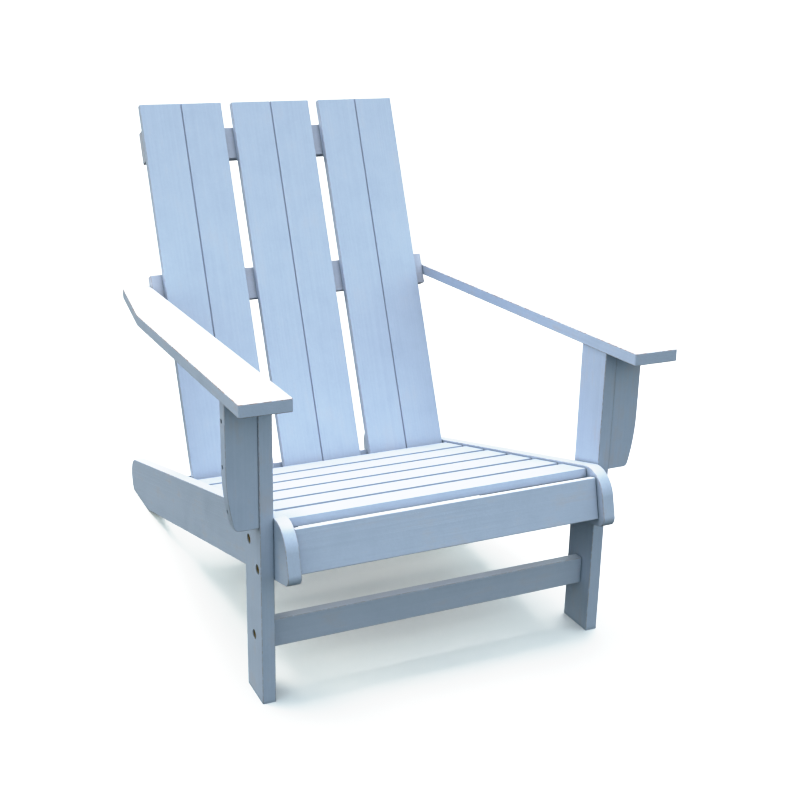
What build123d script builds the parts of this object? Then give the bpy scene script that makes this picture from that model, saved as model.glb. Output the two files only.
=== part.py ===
from build123d import *
import os
from math import atan2, cos, hypot, radians, sin, tan

# An Adirondack garden chair of painted boards: two sloping side rails carry the seat
# slats and the reclined back, two front legs carry the rails and the arms.
# Millimetres and degrees. While it is built, Y runs to the rear from the front face of
# the legs, Z runs up from the ground and X runs across from the middle. At the end the
# chair is moved along Y alone, so that its origin is under the middle of its outline.

# Overall sizes
overall_leg_width = 620.0      # across the outer faces of the two front legs
seat_front_height = 316.0      # ground to the side rail's top edge, at the legs' front face
seat_slope = 14.8              # the seat falls towards the back
back_recline = 23.2            # the back leans from upright
back_height = 724.0            # along the boards, from the seat's surface to their top end
arm_front_height = 510.0       # ground to the arm's underside, at the legs' front face
arm_slope = 1.75               # the arms fall towards the back
edge_round = 1.5               # rounding of every sawn board edge

# Front legs
leg_thick = 22.0
leg_depth = 72.0

# Side rails
rail_thick = 22.0
rail_width = 100.0
rail_nose = 40.0               # length of the rail ahead of the legs' front face, along its top
rail_end_radius = 48.0         # large curve at the top of both ends
rail_lip_radius = 16.0         # small curve under the nose
rail_heel_radius = 14.0        # small curve where the rear end meets the ground
rail_foot_length = 122.0       # flat part that stands on the ground

# Seat slats
slat_count = 6
slat_width = 73.5
slat_thick = 15.0
slat_gap = 17.0
slat_start = 2.5               # front slat's front edge, along the slope from the legs' front face
slat_recess = 4.0              # seat surface below the rails' top edge
slat_edge_round = 0.6          # the slats keep crisper edges than the other boards
slat_end_gap = 1.0             # each slat end to the rail's inner face
seat_to_back_gap = 14.5        # last slat's top edge to the back boards

# Seat cleats, under the slats' ends
cleat_width = 20.0
cleat_depth = 25.0
cleat_to_block_gap = 2.5       # cleat's front end to the apron's corner block
cleat_to_back_gap = 2.0

# Front apron and the corner blocks behind it
apron_thick = 15.0
apron_width = 70.0
apron_front = 25.0             # apron's front face ahead of the slope's zero, along the slope
apron_drop = 17.0              # apron's top edge below the rails' top edge
apron_end_gap = 0.5
apron_block_thick = 20.0
apron_block_length = 20.0
apron_block_margin = 6.0       # apron's edges to the block's ends

# Back boards
back_board_count = 3
back_board_thick = 15.0
back_board_gap = 20.4
back_side_gap = 2.0            # outer board's edge to the side rail's inner face
groove_width = 2.4
groove_depth = 4.0
groove_lip = 2.6               # side of the square that eases the groove's two edges

# Cross rails behind the back boards
cross_rail_thick = 22.0
cross_rail_width = 62.0
upper_rail_drop = 78.0         # boards' top end to the upper rail's middle
lower_rail_rise = 8.0          # lower rail's top edge above the seat's surface
lower_rail_end_gap = 0.5
back_block_thick = 20.0
back_block_length = 32.0
back_block_height = 46.0

# Arms
arm_thick = 20.0
arm_width = 80.0
arm_inner_lap = 2.0            # arm's inner edge past the leg's inner face
arm_front_overhang = 84.0
arm_rear_overhang = 6.0        # arm's rear end past the arm rail's rear face
arm_taper_length = 225.0
arm_rear_width = 51.5
arm_corner_radius = 3.0
arm_taper_radius = 30.0

# Brackets under the arms, on the legs' outer faces
bracket_thick = 22.0
bracket_width = 50.2
bracket_height = 208.0
bracket_setback = 2.0          # bracket's front face behind the leg's front face
bracket_taper = 12.5           # how far its outer edge draws in at the bottom
bracket_taper_height = 50.0
bracket_curve_radius = 360.0   # of the bend where the outer edge starts to draw in
bracket_corner_radius = 8.0

# Stretcher between the legs
stretcher_thick = 18.0
stretcher_width = 48.0
stretcher_height = 106.0       # ground to its middle

# Bolts with flat socket heads, sunk in the legs' outer faces
bolt_radius = 3.0
bolt_head_radius = 7.3
bolt_head_thick = 2.2
bolt_head_round = 0.8
bolt_socket_radius = 2.6
bolt_socket_depth = 1.6
bolt_sink_gap = 0.7            # around the bolt's head
bolt_head_recess = 1.0         # head's top below the leg's outer face
bolt_hole_gap = 0.3            # bolt to the wood around it
thread_gap = 0.05              # bolt to the metal that it is screwed into
leg_bolt_rear_inset = 18.0     # upper bolt, from the leg's rear face
leg_bolt_front_inset = 15.5    # lower bolt, from the leg's front face
leg_bolt_rise = 13.0           # upper bolt above the rail's middle line
leg_bolt_drop = 32.0           # lower bolt below the rail's middle line
insert_radius = 5.0
insert_length = 15.0
insert_engagement = 9.5        # length of bolt inside the insert
barrel_nut_radius = 5.0
barrel_nut_length = 13.0
barrel_nut_inset = 30.0        # from the stretcher's end
stretcher_bolt_past_nut = 3.0

# Countersunk wood screws
screw_radius = 1.8
screw_head_radius = 3.4
screw_head_height = 2.6
screw_tip_length = 4.0
screw_tip_radius = 0.4
screw_slot_length = 4.0
screw_slot_width = 0.9
screw_slot_depth = 1.3
screw_hole_gap = 0.1
screw_hole_spare = 1.5         # the hole runs on past the screw's tip
screw_sink_gap = 0.3           # around a sunk screw's head
screw_cover = 4.0              # wood left beyond a screw's tip
bracket_screw_sink = 20.0
bracket_screw_offset = 4.0     # behind the middle of the bracket's thickness
bracket_screw_top_margin = 35.0
bracket_screw_bottom_margin = 29.0
bracket_screw_shares = (0.0, 0.5, 1.0)   # places between the outer screws, from the top
arm_screw_sink = 15.0
arm_screw_bite = 31.0          # length of the long screw inside the arm rail
board_screw_inset = 28.0       # from a back board's edges
block_screw_spacing = 24.0

# Glued dowels under the arms
dowel_radius = 4.0
dowel_hole_gap = 0.1
dowel_cover = 6.0              # wood left above a dowel in the arm
dowel_drop = 26.0              # length of a dowel below the arm
leg_dowel_inset = 18.0         # from the leg's front and rear faces

# Places that follow from the sizes above
leg_outer = overall_leg_width / 2
leg_inner = leg_outer - leg_thick
rail_inner = leg_inner - rail_thick
slope = radians(seat_slope)
lean = radians(back_recline)
arm_fall = radians(arm_slope)
slat_pitch = slat_width + slat_gap
seat_length = slat_start + slat_count * slat_pitch - slat_gap + seat_to_back_gap
slat_under = -slat_recess - slat_thick
seat_to_back_angle = lean - slope
arm_inner = leg_inner - arm_inner_lap
rail_middle_height = seat_front_height - rail_width / 2 / cos(slope)
bolt_sink_radius = bolt_head_radius + bolt_sink_gap
bolt_sink_depth = bolt_head_thick + bolt_head_recess
dowel_length = arm_thick - dowel_cover + dowel_drop

# Each screw passes through one piece and stops short of the next one's far face
slat_screw = cleat_depth + slat_thick - screw_cover
cleat_screw = cleat_width + rail_thick - screw_cover
apron_screw = apron_block_length + apron_thick - screw_cover
apron_block_screw = apron_block_thick + rail_thick - screw_cover
back_block_screw = back_block_thick + rail_thick - screw_cover
lower_rail_screw = back_block_length + cross_rail_thick - screw_cover
back_board_screw = cross_rail_thick + back_board_thick - screw_cover
bracket_screw = bracket_width - bracket_screw_sink + leg_thick - screw_cover

# Frames. In the seat frame, Y runs down the slope from the legs' front face, and Z is
# zero at the rails' top edge. In the back frame, Y runs up the boards from the seat's
# surface, and Z is zero at their front face and grows forwards. In the arm frame, Z is
# zero at the arms' underside.
seat_frame = Plane(
    origin=(0, 0, seat_front_height),
    x_dir=(1, 0, 0),
    z_dir=(0, sin(slope), cos(slope)),
)
back_frame = Plane(
    origin=seat_frame.from_local_coords((0, seat_length, -slat_recess)),
    x_dir=(1, 0, 0),
    z_dir=(0, -cos(lean), sin(lean)),
)
arm_frame = Plane(
    origin=(0, 0, arm_front_height),
    x_dir=(1, 0, 0),
    z_dir=(0, sin(arm_fall), cos(arm_fall)),
)

# The arm rail is centred on the arms' thickness, and the arms end just behind it.
arm_middle = arm_frame.from_local_coords((0, 0, arm_thick / 2))
rail_depth_middle = -back_board_thick - cross_rail_thick / 2
rail_middle = back_frame.from_local_coords((0, 0, rail_depth_middle))
rise = arm_middle.Z - rail_middle.Z
run = rail_middle.Y - arm_middle.Y
arm_rail_middle = (rise * cos(arm_fall) - run * sin(arm_fall)) / cos(lean - arm_fall)
cross_rail_front = -back_board_thick
cross_rail_rear = cross_rail_front - cross_rail_thick
arm_rail_centre = back_frame.from_local_coords((0, arm_rail_middle, rail_depth_middle))
arm_rail_rear = back_frame.from_local_coords((0, arm_rail_middle, cross_rail_rear))
arm_end = arm_frame.to_local_coords(arm_rail_rear).Y + arm_rear_overhang
upper_rail_middle = back_height - upper_rail_drop
lower_rail_middle = lower_rail_rise - cross_rail_width / 2

pieces = {}


def both_sides(shape):
    """A shape built on the +X side, and its mirror image on the other side."""
    return [shape, mirror(shape, about=Plane.YZ)]


def board(frame, x_range, y_range, z_range, rounding=edge_round):
    """A rectangular board in a frame, with all its edges rounded."""
    spans = [x_range, y_range, z_range]
    lengths = [high - low for low, high in spans]
    middle = [(high + low) / 2 for low, high in spans]
    block = Box(*lengths)
    return frame * Pos(*middle) * fillet(block.edges(), rounding)


def rounded_face(corners):
    """A flat face from (x, y, radius) corners."""
    face = make_face(Polyline(*[(x, y) for x, y, radius in corners], close=True))
    for x, y, radius in corners:
        if radius > 0:
            corner = face.vertices().sort_by_distance((x, y))[0]
            face = fillet(corner, radius)
    return face


def rounded_panel(plane, corners, thickness, rounding=edge_round):
    """A flat outline on a plane, thickened along its normal, with its outline's edges rounded."""
    panel = extrude(rounded_face(corners), thickness)
    rims = panel.faces().sort_by(Axis.Z)
    panel = fillet(rims[0].edges() + rims[-1].edges(), rounding)
    return plane * panel


def rod(seat, radius, length):
    """A round bar that runs back from a seat plane, against its normal."""
    return seat * Pos(0, 0, -length / 2) * Cylinder(radius, length)


def countersink():
    """The cone of a wood screw's head, below the XY plane."""
    cone = Cone(screw_radius, screw_head_radius, screw_head_height)
    return Pos(0, 0, -screw_head_height / 2) * cone


def wood_screw(seat, length):
    """A countersunk screw, its head flush with a seat plane and its tip behind it."""
    shank_length = length - screw_head_height - screw_tip_length
    shank = Pos(0, 0, -screw_head_height - shank_length / 2) * Cylinder(screw_radius, shank_length)
    tip = Cone(screw_tip_radius, screw_radius, screw_tip_length)
    tip = Pos(0, 0, -length + screw_tip_length / 2) * tip
    slot = Box(screw_slot_length, screw_slot_width, 2 * screw_slot_depth)
    return seat * (countersink() + shank + tip - slot - Rot(0, 0, 90) * slot)


def screw_hole(seat, length, sink=0.0):
    """The hole for a wood screw, with a wider sink of a given depth above its head."""
    depth = length + screw_hole_spare
    hole = countersink() + Pos(0, 0, -depth / 2) * Cylinder(screw_radius + screw_hole_gap, depth)
    if sink > 0:
        hole += Pos(0, 0, sink / 2) * Cylinder(screw_head_radius + screw_sink_gap, sink)
    return seat * hole


def drill(solid, seats, length, sink=0.0):
    """A solid with the holes for wood screws at some seat planes."""
    for seat in seats:
        solid -= screw_hole(seat, length, sink)
    return solid


def mirrored(seats):
    """Seat planes on the +X side together with their mirror images."""
    others = []
    for seat in seats:
        place = seat.origin
        normal = seat.z_dir
        others.append(
            Plane(origin=(-place.X, place.Y, place.Z), z_dir=(-normal.X, normal.Y, normal.Z))
        )
    return list(seats) + others


def seat_at(frame, place, direction):
    """A seat plane for a fastener: a place and an outward direction in a frame."""
    start = frame.from_local_coords(place)
    end = frame.from_local_coords(tuple(a + b for a, b in zip(place, direction)))
    return Plane(origin=start, z_dir=end - start)


# Fastener places on the +X side
def leg_bolt_places():
    """The (Y, Z) places of the two bolts that hold a rail to its leg."""
    upper = leg_depth - leg_bolt_rear_inset
    lower = leg_bolt_front_inset
    return [
        (upper, rail_middle_height - upper * tan(slope) + leg_bolt_rise),
        (lower, rail_middle_height - lower * tan(slope) - leg_bolt_drop),
    ]


sink_floor = leg_outer - bolt_sink_depth
leg_bolt_seats = [Plane(origin=(sink_floor, y, z), z_dir=(1, 0, 0)) for y, z in leg_bolt_places()]
stretcher_bolt_seat = Plane(origin=(sink_floor, leg_depth / 2, stretcher_height), z_dir=(1, 0, 0))
leg_bolt_length = sink_floor - rail_inner - insert_length + insert_engagement
stretcher_bolt_length = (
    sink_floor - leg_inner + barrel_nut_inset + barrel_nut_radius + stretcher_bolt_past_nut
)

bracket_screw_y = bracket_setback + bracket_thick / 2 + bracket_screw_offset
bracket_screw_top = arm_front_height - bracket_screw_y * tan(arm_fall) - bracket_screw_top_margin
bracket_screw_span = bracket_height - bracket_screw_top_margin - bracket_screw_bottom_margin
bracket_screw_seats = [
    Plane(
        origin=(
            leg_outer + bracket_width - bracket_screw_sink,
            bracket_screw_y,
            bracket_screw_top - share * bracket_screw_span,
        ),
        z_dir=(1, 0, 0),
    )
    for share in bracket_screw_shares
]
slat_screw_seats = [
    seat_at(
        seat_frame,
        (
            rail_inner - cleat_width / 2,
            slat_start + slat_width / 2 + slat_pitch * index,
            slat_under - cleat_depth,
        ),
        (0, 0, -1),
    )
    for index in range(slat_count)
]
cleat_screw_seats = [
    seat_at(
        seat_frame,
        (
            rail_inner - cleat_width,
            slat_start + slat_pitch * index - slat_gap / 2,
            slat_under - cleat_depth / 2,
        ),
        (-1, 0, 0),
    )
    for index in range(1, slat_count)
]
apron_rear = -apron_front + apron_thick
apron_middle = -apron_drop - apron_width / 2
apron_block_rear = apron_rear + apron_block_length
apron_screw_seats = [
    seat_at(
        seat_frame,
        (
            rail_inner - apron_block_thick / 2,
            apron_block_rear,
            apron_middle + side * block_screw_spacing / 2,
        ),
        (0, 1, 0),
    )
    for side in (-1, 1)
]
apron_block_screw_seats = [
    seat_at(
        seat_frame,
        (rail_inner - apron_block_thick, apron_rear + apron_block_length / 2, apron_middle),
        (-1, 0, 0),
    )
]
lower_rail_under = lower_rail_middle - cross_rail_width / 2
back_block_middle = lower_rail_under + back_block_height / 2
back_block_screw_seats = [
    seat_at(
        back_frame,
        (
            rail_inner - back_block_thick,
            back_block_middle + side * block_screw_spacing / 2,
            cross_rail_rear - back_block_length / 2,
        ),
        (-1, 0, 0),
    )
    for side in (-1, 1)
]
lower_rail_screw_seats = [
    seat_at(
        back_frame,
        (rail_inner - back_block_thick / 2, back_block_middle, cross_rail_rear - back_block_length),
        (0, 0, -1),
    )
]

# The long screw runs through the arm's tapered edge into the arm rail's end
arm_screw_y = arm_frame.to_local_coords(arm_rail_centre).Y
arm_taper = (arm_width - arm_rear_width) / arm_taper_length
arm_width_at_screw = arm_rear_width + arm_taper * (arm_end - arm_screw_y)
arm_screw_through = arm_width_at_screw - arm_screw_sink
arm_screw = arm_screw_through + arm_screw_bite
arm_screw_seats = [
    seat_at(arm_frame, (arm_inner + arm_screw_through, arm_screw_y, arm_thick / 2), (1, 0, 0))
]
dowel_seats = [
    seat_at(arm_frame, (x, y, arm_thick - dowel_cover), (0, 0, 1))
    for x, y in (
        (leg_outer - leg_thick / 2, leg_dowel_inset),
        (leg_outer - leg_thick / 2, leg_depth - leg_dowel_inset),
        (leg_outer + bracket_width / 2, bracket_setback + bracket_thick / 2),
    )
]

# Back boards share the width between the side rails
back_half_width = rail_inner - back_side_gap
back_board_pitch = (2 * back_half_width + back_board_gap) / back_board_count
back_board_width = back_board_pitch - back_board_gap
back_board_middles = [
    -back_half_width + back_board_width / 2 + back_board_pitch * index
    for index in range(back_board_count)
]
cross_rail_middles = {
    "upper_back_rail": upper_rail_middle,
    "arm_back_rail": arm_rail_middle,
    "lower_back_rail": lower_rail_middle,
}


def board_screw_seats(middle, rail_heights):
    """Seats on the cross rails' rear faces for the screws into one back board."""
    reach = back_board_width / 2 - board_screw_inset
    return [
        seat_at(back_frame, (middle + side * reach, height, cross_rail_rear), (0, 0, -1))
        for height in rail_heights
        for side in (-1, 1)
    ]


def drill_dowels(solid):
    """A solid with the blind holes for the dowels under one arm."""
    for seat in dowel_seats:
        solid -= rod(seat, dowel_radius + dowel_hole_gap, dowel_length)
    return solid


def side_rail():
    """The sloping rail: rounded at both ends, with a flat foot sawn level with the ground."""
    foot_front = (seat_front_height - rail_width / cos(slope)) / tan(slope)
    foot_rear = foot_front + rail_foot_length
    top_front = seat_frame.from_local_coords((0, -rail_nose, 0))
    low_front = seat_frame.from_local_coords((0, -rail_nose, -rail_width))
    rail_end = seat_frame.to_local_coords(Vector(0, foot_rear, 0)).Y
    top_rear = seat_frame.from_local_coords((0, rail_end, 0))
    rear_height = (top_rear - Vector(0, foot_rear, 0)).length
    corners = [
        (top_front.Y, top_front.Z, min(rail_end_radius, rail_width - rail_lip_radius)),
        (low_front.Y, low_front.Z, rail_lip_radius),
        (foot_front, 0, 0),
        (foot_rear, 0, rail_heel_radius),
        (top_rear.Y, top_rear.Z, min(rail_end_radius, rear_height - rail_heel_radius)),
    ]
    rail = rounded_panel(Plane.YZ.offset(rail_inner), corners, rail_thick)
    for seat in leg_bolt_seats:
        rail -= rod(seat, bolt_radius + bolt_hole_gap, leg_bolt_length)
        rail -= insert_place(seat) * Cylinder(insert_radius, insert_length)
    rail = drill(rail, cleat_screw_seats, cleat_screw)
    rail = drill(rail, apron_block_screw_seats, apron_block_screw)
    return drill(rail, back_block_screw_seats, back_block_screw)


def insert_place(seat):
    """The middle of the threaded insert that a leg bolt is screwed into."""
    return Pos(rail_inner + insert_length / 2, seat.origin.Y, seat.origin.Z) * Rot(0, 90, 0)


def front_leg():
    """An upright board, its top sawn to the arm's slope, with sinks for the bolt heads."""
    spare = leg_depth
    leg = Box(leg_thick, leg_depth, arm_front_height + spare)
    leg = fillet(leg.edges().filter_by(Axis.Z), edge_round)
    leg = Pos(leg_outer - leg_thick / 2, leg_depth / 2, (arm_front_height + spare) / 2) * leg
    leg = split(leg, bisect_by=arm_frame, keep=Keep.BOTTOM)
    for seat in leg_bolt_seats + [stretcher_bolt_seat]:
        leg -= rod(seat, bolt_radius + bolt_hole_gap, leg_thick)
        leg -= seat * Pos(0, 0, bolt_sink_depth / 2) * Cylinder(bolt_sink_radius, bolt_sink_depth)
    return drill_dowels(drill(leg, bracket_screw_seats, bracket_screw))


def arm_bracket():
    """A narrow board under the arm, its outer edge drawn in and rounded at the bottom."""
    spare = bracket_thick
    bend = atan2(bracket_taper, bracket_taper_height)
    tapered_length = hypot(bracket_taper, bracket_taper_height)
    curve_limit = (tapered_length - bracket_corner_radius) / tan(bend / 2)
    corners = [
        (leg_outer, 0, 0),
        (leg_outer + bracket_width - bracket_taper, 0, bracket_corner_radius),
        (leg_outer + bracket_width, bracket_taper_height, min(bracket_curve_radius, curve_limit)),
        (leg_outer + bracket_width, bracket_height + spare, 0),
        (leg_outer, bracket_height + spare, 0),
    ]
    rear = bracket_setback + bracket_thick
    face_plane = Plane(
        origin=(0, rear, arm_front_height - bracket_height),
        x_dir=(1, 0, 0),
        z_dir=(0, -1, 0),
    )
    bracket = rounded_panel(face_plane, corners, bracket_thick)
    bracket = split(bracket, bisect_by=arm_frame, keep=Keep.BOTTOM)
    return drill_dowels(drill(bracket, bracket_screw_seats, bracket_screw, bracket_screw_sink))


def arm():
    """A flat arm, its outer edge tapered over the rear part."""
    corners = [
        (arm_inner, -arm_front_overhang, arm_corner_radius),
        (arm_inner + arm_width, -arm_front_overhang, arm_corner_radius),
        (arm_inner + arm_width, arm_end - arm_taper_length, arm_taper_radius),
        (arm_inner + arm_rear_width, arm_end, arm_corner_radius),
        (arm_inner, arm_end, arm_corner_radius),
    ]
    flat = rounded_panel(arm_frame, corners, arm_thick)
    return drill_dowels(drill(flat, arm_screw_seats, arm_screw, arm_screw_sink))


def seat_cleat():
    """The batten on a side rail's inner face that the slats rest on."""
    depth_to_under = slat_thick + cleat_depth
    rear = seat_length - cleat_to_back_gap - depth_to_under * tan(seat_to_back_angle)
    cleat = board(
        seat_frame,
        (rail_inner - cleat_width, rail_inner),
        (apron_block_rear + cleat_to_block_gap, rear),
        (slat_under - cleat_depth, slat_under),
    )
    return drill(drill(cleat, slat_screw_seats, slat_screw), cleat_screw_seats, cleat_screw)


def apron_block():
    """The corner block that holds one end of the apron."""
    block = board(
        seat_frame,
        (rail_inner - apron_block_thick, rail_inner),
        (apron_rear, apron_block_rear),
        (-apron_drop - apron_width + apron_block_margin, -apron_drop - apron_block_margin),
    )
    block = drill(block, apron_screw_seats, apron_screw)
    return drill(block, apron_block_screw_seats, apron_block_screw)


def back_block():
    """The block on a side rail's inner face that the lower back rail leans on."""
    block = board(
        back_frame,
        (rail_inner - back_block_thick, rail_inner),
        (lower_rail_under, lower_rail_under + back_block_height),
        (cross_rail_rear - back_block_length, cross_rail_rear),
    )
    block = drill(block, back_block_screw_seats, back_block_screw)
    return drill(block, lower_rail_screw_seats, lower_rail_screw)


def front_apron():
    """The board across the front, square to the seat."""
    apron = board(
        seat_frame,
        (-rail_inner + apron_end_gap, rail_inner - apron_end_gap),
        (-apron_front, apron_rear),
        (-apron_drop - apron_width, -apron_drop),
    )
    return drill(apron, mirrored(apron_screw_seats), apron_screw)


def leg_stretcher():
    """The board between the legs, with a bolt hole and a barrel nut hole at each end."""
    front = leg_depth / 2 - stretcher_thick / 2
    stretcher = board(
        Plane.XY,
        (-leg_inner, leg_inner),
        (front, front + stretcher_thick),
        (stretcher_height - stretcher_width / 2, stretcher_height + stretcher_width / 2),
    )
    nut_hole_depth = (stretcher_thick + barrel_nut_length) / 2
    bolt_hole_length = stretcher_bolt_length + bolt_radius
    bolt_hole = rod(stretcher_bolt_seat, bolt_radius + bolt_hole_gap, bolt_hole_length)
    for hole in both_sides(bolt_hole):
        stretcher -= hole
    for side in (-1, 1):
        nut_seat = Plane(
            origin=(side * (leg_inner - barrel_nut_inset), front + stretcher_thick, stretcher_height),
            z_dir=(0, 1, 0),
        )
        stretcher -= rod(nut_seat, barrel_nut_radius, nut_hole_depth)
    return stretcher


def seat_slat(index):
    """One seat slat, laid between the side rails on the two cleats."""
    front = slat_start + slat_pitch * index
    slat = board(
        seat_frame,
        (-rail_inner + slat_end_gap, rail_inner - slat_end_gap),
        (front, front + slat_width),
        (slat_under, -slat_recess),
        slat_edge_round,
    )
    return drill(slat, mirrored([slat_screw_seats[index]]), slat_screw)


def back_board(middle):
    """One back board, with a groove down the middle of its front face."""
    panel = board(
        back_frame,
        (middle - back_board_width / 2, middle + back_board_width / 2),
        (lower_rail_under, back_height),
        (-back_board_thick, 0),
    )
    length = 2 * (back_height - lower_rail_under)
    groove = Box(groove_width, length, 2 * groove_depth)
    groove += Rot(0, 45, 0) * Box(groove_lip, length, groove_lip)
    panel -= back_frame * Pos(middle, 0, 0) * groove
    return drill(panel, board_screw_seats(middle, cross_rail_middles.values()), back_board_screw)


def cross_rail(name, half_length):
    """One rail across the back boards' rear faces."""
    height = cross_rail_middles[name]
    rail = board(
        back_frame,
        (-half_length, half_length),
        (height - cross_rail_width / 2, height + cross_rail_width / 2),
        (cross_rail_rear, cross_rail_front),
    )
    for middle in back_board_middles:
        rail = drill(rail, board_screw_seats(middle, [height]), back_board_screw)
    return rail


def socket_bolt(seat, length):
    """A bolt with a flat round head that stands on a seat plane and has a hexagon socket."""
    head = Pos(0, 0, bolt_head_thick / 2) * Cylinder(bolt_head_radius, bolt_head_thick)
    head = fillet(head.edges().sort_by(Axis.Z)[-1], bolt_head_round)
    shank = Pos(0, 0, -length / 2) * Cylinder(bolt_radius, length)
    socket = extrude(RegularPolygon(bolt_socket_radius, 6), bolt_socket_depth)
    return seat * (head + shank - Pos(0, 0, bolt_head_thick - bolt_socket_depth) * socket)


def threaded_insert(seat):
    """The sleeve in a side rail that a leg bolt is screwed into."""
    return insert_place(seat) * (
        Cylinder(insert_radius, insert_length) - Cylinder(bolt_radius + thread_gap, insert_length)
    )


def barrel_nut():
    """The cross nut near one end of the stretcher."""
    nut = Rot(90, 0, 0) * Cylinder(barrel_nut_radius, barrel_nut_length)
    nut -= Rot(0, 90, 0) * Cylinder(bolt_radius + thread_gap, 2 * barrel_nut_radius)
    return Pos(leg_inner - barrel_nut_inset, leg_depth / 2, stretcher_height) * nut


def fastener_set(make, seats, *lengths):
    """Equal fasteners at seats on the +X side and at their mirror images, as separate solids."""
    halves = [half for seat in seats for half in both_sides(make(seat, *lengths))]
    return Compound([half.solid() for half in halves])


for name, make in {
    "side_rail": side_rail,
    "front_leg": front_leg,
    "arm_bracket": arm_bracket,
    "arm": arm,
    "seat_cleat": seat_cleat,
    "apron_block": apron_block,
    "back_block": back_block,
}.items():
    right, left = both_sides(make())
    pieces["right_" + name] = right
    pieces["left_" + name] = left

pieces["front_apron"] = front_apron()
pieces["leg_stretcher"] = leg_stretcher()
for index in range(slat_count):
    pieces["seat_slat_" + str(index + 1)] = seat_slat(index)
for index, middle in enumerate(back_board_middles):
    pieces["back_board_" + str(index + 1)] = back_board(middle)
pieces["upper_back_rail"] = cross_rail("upper_back_rail", back_half_width)
pieces["arm_back_rail"] = cross_rail("arm_back_rail", arm_inner)
for seat in mirrored(arm_screw_seats):
    pieces["arm_back_rail"] -= screw_hole(seat, arm_screw)
pieces["lower_back_rail"] = drill(
    cross_rail("lower_back_rail", rail_inner - lower_rail_end_gap),
    mirrored(lower_rail_screw_seats),
    lower_rail_screw,
)

pieces["leg_bolts"] = fastener_set(socket_bolt, leg_bolt_seats, leg_bolt_length)
pieces["threaded_inserts"] = fastener_set(threaded_insert, leg_bolt_seats)
pieces["stretcher_bolts"] = fastener_set(socket_bolt, [stretcher_bolt_seat], stretcher_bolt_length)
pieces["barrel_nuts"] = Compound([nut.solid() for nut in both_sides(barrel_nut())])
pieces["bracket_screws"] = fastener_set(wood_screw, bracket_screw_seats, bracket_screw)
pieces["slat_screws"] = fastener_set(wood_screw, slat_screw_seats, slat_screw)
pieces["cleat_screws"] = fastener_set(wood_screw, cleat_screw_seats, cleat_screw)
pieces["apron_screws"] = fastener_set(wood_screw, apron_screw_seats, apron_screw)
pieces["apron_block_screws"] = fastener_set(
    wood_screw, apron_block_screw_seats, apron_block_screw
)
pieces["back_block_screws"] = fastener_set(wood_screw, back_block_screw_seats, back_block_screw)
pieces["lower_rail_screws"] = fastener_set(wood_screw, lower_rail_screw_seats, lower_rail_screw)
pieces["arm_screws"] = fastener_set(wood_screw, arm_screw_seats, arm_screw)
pieces["arm_dowels"] = fastener_set(rod, dowel_seats, dowel_radius, dowel_length)
pieces["back_board_screws"] = Compound(
    [
        wood_screw(seat, back_board_screw).solid()
        for middle in back_board_middles
        for seat in board_screw_seats(middle, cross_rail_middles.values())
    ]
)

outline = Compound([solid for piece in pieces.values() for solid in piece.solids()]).bounding_box()
to_origin = Pos(0, -(outline.min.Y + outline.max.Y) / 2, 0)
os.makedirs("parts", exist_ok=True)
for name, piece in pieces.items():
    export_step(to_origin * piece, os.path.join("parts", name + ".step"))
print(len(pieces), "nodes, overall", outline.size)
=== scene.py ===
import math

import bpy
from mathutils import Matrix, Vector


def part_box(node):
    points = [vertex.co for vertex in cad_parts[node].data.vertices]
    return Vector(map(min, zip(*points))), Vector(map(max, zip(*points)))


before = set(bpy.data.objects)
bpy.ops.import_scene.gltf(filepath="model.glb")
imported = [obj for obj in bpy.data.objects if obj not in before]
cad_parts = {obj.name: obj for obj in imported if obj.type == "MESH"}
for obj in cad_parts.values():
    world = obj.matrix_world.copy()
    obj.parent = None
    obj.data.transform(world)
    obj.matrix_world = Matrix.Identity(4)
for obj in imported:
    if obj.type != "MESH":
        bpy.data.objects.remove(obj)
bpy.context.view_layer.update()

print("stage: the chair is loaded,", len(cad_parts), "pieces")


def linear(hexColour):
    parts = [int(hexColour[i:i + 2], 16) / 255 for i in (1, 3, 5)]
    return [c / 12.92 if c <= 0.04045 else ((c + 0.055) / 1.055) ** 2.4 for c in parts] + [1.0]


def addNode(tree, kind, values=None, links=None, **settings):
    node = tree.nodes.new(kind)
    for key, value in settings.items():
        setattr(node, key, value)
    for socket, value in (values or {}).items():
        node.inputs[socket].default_value = value
    for socket, source in (links or {}).items():
        tree.links.new(source, node.inputs[socket])
    return node


def newMaterial(name):
    material = bpy.data.materials.new(name)
    material.use_nodes = True
    tree = material.node_tree
    tree.nodes.clear()
    output = tree.nodes.new("ShaderNodeOutputMaterial")
    shader = tree.nodes.new("ShaderNodeBsdfPrincipled")
    tree.links.new(shader.outputs["BSDF"], output.inputs["Surface"])
    return material, tree, shader


def perMetre(millimetres):
    return 1000.0 / millimetres


# The chair's angles, in degrees: the boards' grain follows them
angles = {"seatSlope": 14.8, "backRecline": 23.2, "armSlope": 1.75}
slope = math.radians(angles["seatSlope"])
lean = math.radians(angles["backRecline"])
fall = math.radians(angles["armSlope"])
across = Vector((1, 0, 0))
upright = Vector((0, 0, 1))
forwards = Vector((0, -1, 0))
downSeat = Vector((0, math.cos(slope), -math.sin(slope)))
offSeat = Vector((0, math.sin(slope), math.cos(slope)))
upBack = Vector((0, math.sin(lean), math.cos(lean)))
offBack = Vector((0, -math.cos(lean), math.sin(lean)))
alongArm = Vector((0, math.cos(fall), -math.sin(fall)))
offArm = Vector((0, math.sin(fall), math.cos(fall)))

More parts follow.
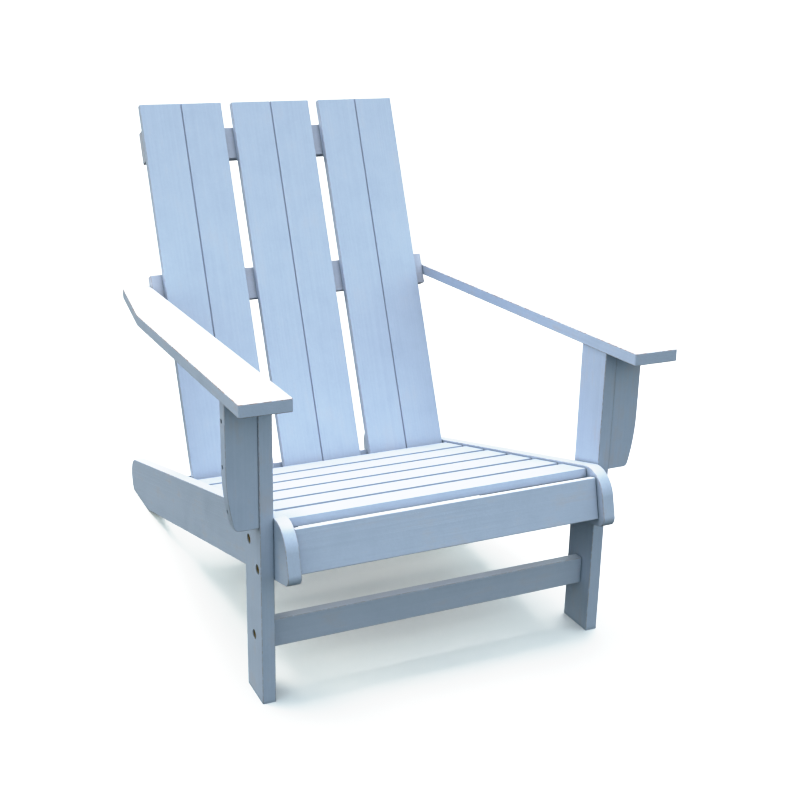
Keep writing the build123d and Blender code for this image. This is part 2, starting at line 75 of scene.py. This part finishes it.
# Painted softwood: planed boards brushed with one coat of satin garden paint. It gives a
# soft pale blue with faint grain and brush lines, painted light on the tops and rubbed brownish corners.
paint = {
    "deep": "#A7B4C9",
    "pale": "#B8C3D7",
    "thin": "#B4B0B8",          # the primer, where it shows through
    "litTopColour": "#E3E7EE",        # painted light: a paler colour laid on faces that look up, standing in for the light from above
    "bareWood": "#8F7A74",
    # painted shade, laid where two boards nearly touch
    "gapShade": "#5E7488",
    "roughness": 0.45,
    "ringSpacing": 5.0,         # growth rings; this and the sizes below are in millimetres
    "veinSize": 9.0,            # grain lines
    "brushSpacing": 1.5,        # bristle marks
    "cloudSize": 55.0,          # soft patches in the coat
    "fleckSize": 6.0,           # small uneven spots
    "chipSize": 8.0,            # worn places along an edge
    "gapReach": 14.0,           # how near another board the painted gap shade reaches
    "grooveMargin": 4.5,        # no wear this near to a back board's middle groove
    # Where each change starts and where it is full
    "toneSpan": (-0.26, 0.26),  # either side of the patterns' middle, from deep to pale
    "thinSpan": (0.93, 1.13),   # of the grain lines and the clouds added up
    "upSpan": (0.75, 0.96),     # how far up a face looks to take the painted top light, 1 is straight up
    "wearSpan": (0.95, 1.15),   # of the corner and the chips added up
    "gapSpan": (0.72, 0.36),    # how open a spot is, 1 is wide open
}


def paintedSoftwood(node, board, number):
    material, tree, shader = newMaterial("paintedSoftwood." + node)
    low, high = (Vector(corner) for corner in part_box(node))
    length, face = board["length"], board["face"]
    turn = Matrix((length.cross(face), length, face))
    # The tree's heart lies below each board, in another place for each
    heart = Vector((
        0.024 * math.sin(2.3 * number), 0.37 * number, -0.05 - 0.014 * math.cos(1.7 * number),
    ))
    place = addNode(tree, "ShaderNodeTexCoord")
    wood = addNode(
        tree, "ShaderNodeMapping",
        {"Rotation": turn.to_euler(), "Location": heart - turn @ ((low + high) / 2)},
        {"Vector": place.outputs["Object"]},
    )
    drawn = addNode(tree, "ShaderNodeMapping", {"Scale": (1, 0.05, 1)}, {"Vector": wood.outputs[0]})
    stroked = addNode(tree, "ShaderNodeMapping", {"Scale": (1, 0.015, 1)}, {"Vector": wood.outputs[0]})
    # A ring wave of scale 1 repeats every 314 mm
    rings = addNode(
        tree, "ShaderNodeTexWave",
        {"Scale": 0.314 * perMetre(paint["ringSpacing"]), "Distortion": 5.0, "Detail": 3.0,
         "Detail Scale": 0.25, "Detail Roughness": 0.6},
        {"Vector": drawn.outputs[0]},
        wave_type="RINGS", rings_direction="Y", wave_profile="SAW",
    )
    clouds = addNode(
        tree, "ShaderNodeTexNoise",
        {"Scale": perMetre(paint["cloudSize"]), "Detail": 4.0, "Roughness": 0.6},
        {"Vector": wood.outputs[0]},
    )
    flecks = addNode(
        tree, "ShaderNodeTexNoise",
        {"Scale": perMetre(paint["fleckSize"]), "Detail": 3.0, "Roughness": 0.7},
        {"Vector": wood.outputs[0]},
    )
    bristles = addNode(
        tree, "ShaderNodeTexNoise",
        {"Scale": perMetre(paint["brushSpacing"] * 2), "Detail": 3.0, "Roughness": 0.6},
        {"Vector": stroked.outputs[0]},
    )
    veins = addNode(
        tree, "ShaderNodeTexNoise",
        {"Scale": perMetre(paint["veinSize"]), "Detail": 4.0, "Roughness": 0.65},
        {"Vector": drawn.outputs[0]},
    )

    # The coat: soft clouds, small flecks, faint grain lines and bristle marks
    shares = ((clouds, 0.45), (flecks, 0.24), (bristles, 0.14), (veins, 0.30), (rings, -0.08))
    tone = addNode(tree, "ShaderNodeValue")
    tone.outputs[0].default_value = 0.0
    for source, share in shares:
        tone = addNode(
            tree, "ShaderNodeMath", {1: share}, {0: source.outputs["Fac"], 2: tone.outputs[0]},
            operation="MULTIPLY_ADD",
        )
    middle = 0.5 * sum(share for source, share in shares)
    start, full = paint["toneSpan"]
    tone = addNode(
        tree, "ShaderNodeMapRange", {1: middle + start, 2: middle + full}, {0: tone.outputs[0]},
    )
    coat = addNode(
        tree, "ShaderNodeMix", {6: linear(paint["deep"]), 7: linear(paint["pale"])},
        {0: tone.outputs[0]}, data_type="RGBA",
    )

    # Places where the coat is thin, longer along the grain
    thinPlace = addNode(
        tree, "ShaderNodeMath", {1: 0.75}, {0: veins.outputs["Fac"], 2: clouds.outputs["Fac"]},
        operation="MULTIPLY_ADD",
    )
    start, full = paint["thinSpan"]
    thinness = addNode(
        tree, "ShaderNodeMapRange",
        {1: start, 2: full, 3: board["thin"] * board["faded"], 4: board["thin"]},
        {0: thinPlace.outputs[0]},
    )
    coat = addNode(
        tree, "ShaderNodeMix", {7: linear(paint["thin"])},
        {0: thinness.outputs[0], 6: coat.outputs[2]}, data_type="RGBA",
    )

    # Painted light: faces that look up are made paler, standing in for the light that falls on them from
    # above
    surface = addNode(tree, "ShaderNodeNewGeometry")
    facing = addNode(tree, "ShaderNodeSeparateXYZ", {}, {0: surface.outputs["Normal"]})
    start, full = paint["upSpan"]
    topLit = addNode(
        tree, "ShaderNodeMapRange", {1: start, 2: full, 3: 0.0, 4: board["topLightShare"]},
        {0: facing.outputs["Z"]},
    )
    coat = addNode(
        tree, "ShaderNodeMix", {7: linear(paint["litTopColour"])},
        {0: topLit.outputs[0], 6: coat.outputs[2]}, data_type="RGBA",
    )

    # Worn corners: the surface looks neither along the board's wide face nor across it
    tilt = addNode(
        tree, "ShaderNodeVectorMath", {1: face}, {0: surface.outputs["Normal"]}, operation="DOT_PRODUCT",
    )
    tilt = addNode(tree, "ShaderNodeMath", {}, {0: tilt.outputs["Value"]}, operation="ABSOLUTE")
    edge = addNode(
        tree, "ShaderNodeMath", {1: 0.58, 2: 0.38}, {0: tilt.outputs[0]}, operation="COMPARE",
    )
    if board["grooved"]:
        margin = paint["grooveMargin"] / 1000
        split = addNode(tree, "ShaderNodeSeparateXYZ", {}, {0: wood.outputs[0]})
        aside = addNode(
            tree, "ShaderNodeMath", {1: heart.x}, {0: split.outputs["X"]}, operation="SUBTRACT",
        )
        aside = addNode(tree, "ShaderNodeMath", {}, {0: aside.outputs[0]}, operation="ABSOLUTE")
        outside = addNode(
            tree, "ShaderNodeMapRange", {1: margin, 2: margin + 0.001}, {0: aside.outputs[0]},
        )
        edge = addNode(
            tree, "ShaderNodeMath", {}, {0: edge.outputs[0], 1: outside.outputs[0]}, operation="MULTIPLY",
        )
    chips = addNode(
        tree, "ShaderNodeTexNoise",
        {"Scale": perMetre(paint["chipSize"]), "Detail": 4.0, "Roughness": 0.62},
        {"Vector": wood.outputs[0]},
    )
    rubbed = addNode(
        tree, "ShaderNodeMath", {1: 0.6}, {0: edge.outputs[0], 2: chips.outputs["Fac"]},
        operation="MULTIPLY_ADD",
    )
    start, full = paint["wearSpan"]
    worn = addNode(
        tree, "ShaderNodeMapRange", {1: start, 2: full, 3: 0.0, 4: board["wear"]},
        {0: rubbed.outputs[0]},
    )
    colour = addNode(
        tree, "ShaderNodeMix", {7: linear(paint["bareWood"])},
        {0: worn.outputs[0], 6: coat.outputs[2]}, data_type="RGBA",
    )

    # Painted shade: the colour darkens where two boards nearly touch, standing in for the shade in the
    # narrow gap
    openness = addNode(
        tree, "ShaderNodeAmbientOcclusion", {"Distance": paint["gapReach"] / 1000}, samples=6,
    )
    start, full = paint["gapSpan"]
    gapShade = addNode(
        tree, "ShaderNodeMapRange", {1: start, 2: full, 3: 0.0, 4: board["gapShade"]},
        {0: openness.outputs["AO"]},
    )
    colour = addNode(
        tree, "ShaderNodeMix", {7: linear(paint["gapShade"])},
        {0: gapShade.outputs[0], 6: colour.outputs[2]}, data_type="RGBA",
    )

    # Satin where the coat is sound, dull where it is worn; grain, bristle marks and flecks
    # stand a fraction of a millimetre proud
    sheen = addNode(
        tree, "ShaderNodeMapRange",
        {1: 0.3, 2: 0.7, 3: paint["roughness"] - 0.06, 4: paint["roughness"] + 0.08},
        {0: clouds.outputs["Fac"]},
    )
    dry = addNode(
        tree, "ShaderNodeMath", {1: 0.3}, {0: worn.outputs[0], 2: sheen.outputs[0]},
        operation="MULTIPLY_ADD",
    )
    raised = None
    for source, strength, depth in ((rings, 0.3, 0.0003), (bristles, 0.6, 0.0003), (flecks, 0.3, 0.0004)):
        links = {"Height": source.outputs["Fac"]}
        if raised:
            links["Normal"] = raised.outputs[0]
        raised = addNode(tree, "ShaderNodeBump", {"Strength": strength, "Distance": depth}, links)
    tree.links.new(colour.outputs[2], shader.inputs["Base Color"])
    tree.links.new(dry.outputs[0], shader.inputs["Roughness"])
    tree.links.new(raised.outputs[0], shader.inputs["Normal"])
    return material


# How far a board's paint has thinned, faded all over, taken painted light on its tops, worn at the
# corners and taken painted shade in its gaps
usual = {"thin": 0.45, "faded": 0.0, "topLightShare": 0.4, "wear": 0.5, "gapShade": 0.8, "grooved": False}
# Each kind of board: which way its grain runs and its wide face looks, and what is unusual
boards = {
    "side_rail": {"length": downSeat, "face": across},
    "front_leg": {"length": upright, "face": across},
    "arm_bracket": {"length": upright, "face": forwards, "wear": 0.35},
    "arm": {"length": alongArm, "face": offArm, "thin": 0.6, "topLightShare": 0.75, "wear": 0.95},
    "seat_cleat": {"length": downSeat, "face": offSeat},
    "apron_block": {"length": offSeat, "face": across},
    "back_block": {"length": upBack, "face": across},
    "front_apron": {"length": across, "face": downSeat, "thin": 0.35, "topLightShare": 0.8, "wear": 0.1},
    "leg_stretcher": {"length": across, "face": forwards, "faded": 0.3},
    "seat_slat": {"length": across, "face": offSeat, "thin": 0.2, "topLightShare": 0.2, "wear": 0.1},
    "back_board": {
        "length": upBack, "face": offBack, "thin": 0.15, "wear": 0.3, "gapShade": 0.1, "grooved": True,
    },
    "upper_back_rail": {"length": across, "face": offBack, "thin": 0.7, "faded": 0.6},
    "arm_back_rail": {"length": across, "face": offBack, "thin": 0.7, "faded": 0.6},
    "lower_back_rail": {"length": across, "face": offBack},
}


# Metals: one colour with darker specks, and a sheen that is uneven with them
def speckledMetal(name, metal):
    material, tree, shader = newMaterial(name)
    place = addNode(tree, "ShaderNodeTexCoord")
    specks = addNode(
        tree, "ShaderNodeTexNoise", {"Scale": perMetre(metal["speckSize"]), "Detail": 4.0},
        {"Vector": place.outputs["Object"]},
    )
    colour = addNode(
        tree, "ShaderNodeMix", {6: linear(metal["dark"]), 7: linear(metal["bright"])},
        {0: specks.outputs["Fac"]}, data_type="RGBA",
    )
    gloss = addNode(
        tree, "ShaderNodeMapRange",
        {3: metal["roughness"] - 0.08, 4: metal["roughness"] + 0.12}, {0: specks.outputs["Fac"]},
    )
    shader.inputs["Metallic"].default_value = 1.0
    tree.links.new(colour.outputs[2], shader.inputs["Base Color"])
    tree.links.new(gloss.outputs[0], shader.inputs["Roughness"])
    return material


# Brass gone olive and dull, so that the bolt heads look dark with a warm glint
brass = {"dark": "#957F3F", "bright": "#BFA052", "roughness": 0.36, "speckSize": 1.4}
# Steel darkened to near black, so that the screw heads look like small dark dots: the dark colour is
# painted shade, standing in for the shade down the sunk screw holes
screwSteel = {"dark": "#393A3B", "bright": "#4A4B4C", "roughness": 0.5, "speckSize": 1.2}
# Zinc plate: a cool light grey with a soft sheen
zinc = {"dark": "#79797A", "bright": "#9A9A9C", "roughness": 0.42, "speckSize": 1.2}
# Bare beech: warm and matt, with fine lines along the dowels
beech = {"dark": "#B98F66", "bright": "#DDBE95", "roughness": 0.6, "grainSize": 1.6}

brassMaterial = speckledMetal("dulledBrass", brass)
steelMaterial = speckledMetal("steelWithHoleShade", screwSteel)
zincMaterial = speckledMetal("zincPlate", zinc)

beechMaterial, tree, shader = newMaterial("bareBeech")
place = addNode(tree, "ShaderNodeTexCoord")
drawn = addNode(tree, "ShaderNodeMapping", {"Scale": (1, 1, 0.06)}, {"Vector": place.outputs["Object"]})
grain = addNode(
    tree, "ShaderNodeTexNoise", {"Scale": perMetre(beech["grainSize"]), "Detail": 5.0},
    {"Vector": drawn.outputs[0]},
)
colour = addNode(
    tree, "ShaderNodeMix", {6: linear(beech["dark"]), 7: linear(beech["bright"])},
    {0: grain.outputs["Fac"]}, data_type="RGBA",
)
tree.links.new(colour.outputs[2], shader.inputs["Base Color"])
shader.inputs["Roughness"].default_value = beech["roughness"]

fittings = {
    "leg_bolts": brassMaterial,
    "stretcher_bolts": brassMaterial,
    "threaded_inserts": zincMaterial,
    "barrel_nuts": zincMaterial,
    "arm_dowels": beechMaterial,
}
for number, (name, piece) in enumerate(sorted(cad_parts.items()), 1):
    kind = name.removeprefix("left_").removeprefix("right_").rstrip("_0123456789")
    if kind in boards:
        material = paintedSoftwood(name, {**usual, **boards[kind]}, number)
    else:
        material = fittings.get(name, steelMaterial)
    piece.data.materials.clear()
    piece.data.materials.append(material)
print("stage: the boards are painted and the fittings are plated")

# Pale studio floor: matt and almost white, it only takes a soft shadow
floor = {"colour": "#F8F8F8", "roughness": 0.9, "halfSide": 60.0}
half = floor["halfSide"]
floorMesh = bpy.data.meshes.new("floor")
corners = [(-half, -half, 0), (half, -half, 0), (half, half, 0), (-half, half, 0)]
floorMesh.from_pydata(corners, [], [(0, 1, 2, 3)])
floorPiece = bpy.data.objects.new("floor", floorMesh)
bpy.context.scene.collection.objects.link(floorPiece)
material, tree, shader = newMaterial("paleStudioFloor")
shader.inputs["Base Color"].default_value = linear(floor["colour"])
shader.inputs["Roughness"].default_value = floor["roughness"]
floorMesh.materials.append(material)
# It throws no light back up, so that the chair's undersides stay dark
floorPiece.visible_diffuse = False
floorPiece.visible_glossy = False

# Soft light: a large box overhead, a weak warm one behind on the left, and pale walls
studio = {
    "zenith": (0.80, 0.82, 0.86),
    "horizon": (1.34, 1.67, 1.72),
    "below": (0.02, 0.035, 0.03),
    "fade": (-0.05, 0.25),      # the walls rise out of the dark below between these heights
    "backdrop": 3.0,            # what the camera sees behind the chair is pure white
}
softboxes = (
    {"strength": 1.1, "colour": (1.0, 0.93, 0.87), "softness": 45, "from": (0.0, 0.25, 0.97)},
    {"strength": 0.33, "colour": (1.0, 0.88, 0.66), "softness": 35, "from": (-0.60, 0.76, 0.22)},
)
for box in softboxes:
    boxData = bpy.data.lights.new("softbox", "SUN")
    boxData.energy = box["strength"] * math.pi
    boxData.color = box["colour"]
    boxData.angle = math.radians(box["softness"])
    softbox = bpy.data.objects.new("softbox", boxData)
    softbox.rotation_euler = Vector(box["from"]).to_track_quat("Z", "Y").to_euler()
    bpy.context.scene.collection.objects.link(softbox)

world = bpy.data.worlds.new("studio")
bpy.context.scene.world = world
world.use_nodes = True
tree = world.node_tree
tree.nodes.clear()
direction = addNode(tree, "ShaderNodeTexCoord")
parts = addNode(tree, "ShaderNodeSeparateXYZ", {}, {0: direction.outputs["Generated"]})
sky = addNode(
    tree, "ShaderNodeMix", {6: studio["horizon"] + (1,), 7: studio["zenith"] + (1,)},
    {0: parts.outputs["Z"]}, data_type="RGBA",
)
start, full = studio["fade"]
fade = addNode(tree, "ShaderNodeMapRange", {1: start, 2: full}, {0: parts.outputs["Z"]})
walls = addNode(
    tree, "ShaderNodeMix", {6: studio["below"] + (1,)}, {0: fade.outputs[0], 7: sky.outputs[2]},
    data_type="RGBA",
)
light = addNode(tree, "ShaderNodeBackground", {"Strength": 1.0}, {"Color": walls.outputs[2]})
backdrop = addNode(tree, "ShaderNodeBackground", {"Color": (1, 1, 1, 1), "Strength": studio["backdrop"]})
path = addNode(tree, "ShaderNodeLightPath")
mixed = addNode(
    tree, "ShaderNodeMixShader", {},
    {0: path.outputs["Is Camera Ray"], 1: light.outputs[0], 2: backdrop.outputs[0]},
)
addNode(tree, "ShaderNodeOutputWorld", {}, {"Surface": mixed.outputs[0]})
print("stage: the studio is lit")

# Camera
view = {
    "place": (-0.86942, -2.08399, 1.11143),
    "yaw": 25.366, "pitch": -19.053, "roll": 1.186,     # degrees
    "lens": 57.455,
}
yaw, pitch, roll = (math.radians(view[key]) for key in ("yaw", "pitch", "roll"))
ahead = Vector((math.sin(yaw) * math.cos(pitch), math.cos(yaw) * math.cos(pitch), math.sin(pitch)))
right = Vector((math.cos(yaw), -math.sin(yaw), 0))
above = right.cross(ahead)
right, above = (
    math.cos(roll) * right + math.sin(roll) * above,
    -math.sin(roll) * right + math.cos(roll) * above,
)
cameraData = bpy.data.cameras.new("camera")
cameraData.lens = view["lens"]
cameraData.sensor_width = 36.0
camera = bpy.data.objects.new("camera", cameraData)
turn = Matrix((right, above, -ahead)).transposed().to_4x4()
camera.matrix_world = Matrix.Translation(view["place"]) @ turn
bpy.context.scene.collection.objects.link(camera)
bpy.context.scene.camera = camera

# Bright values roll off softly to white, as they do in a camera
colours = bpy.context.scene.view_settings
colours.view_transform = "Standard"
colours.use_curve_mapping = True
brightest = 3.0
rollOff = (
    (0.2, 0.2), (0.3, 0.3), (0.4, 0.41), (0.5, 0.53), (0.6, 0.665), (0.7, 0.79), (0.8, 0.88),
    (0.9, 0.93), (1.05, 0.965), (1.2, 1.0),
)
colours.curve_mapping.white_level = (brightest, brightest, brightest)
curve = colours.curve_mapping.curves[3]
for value, shown in rollOff:
    curve.points.new(value / brightest, shown)
colours.curve_mapping.update()
print("stage: the camera is set")
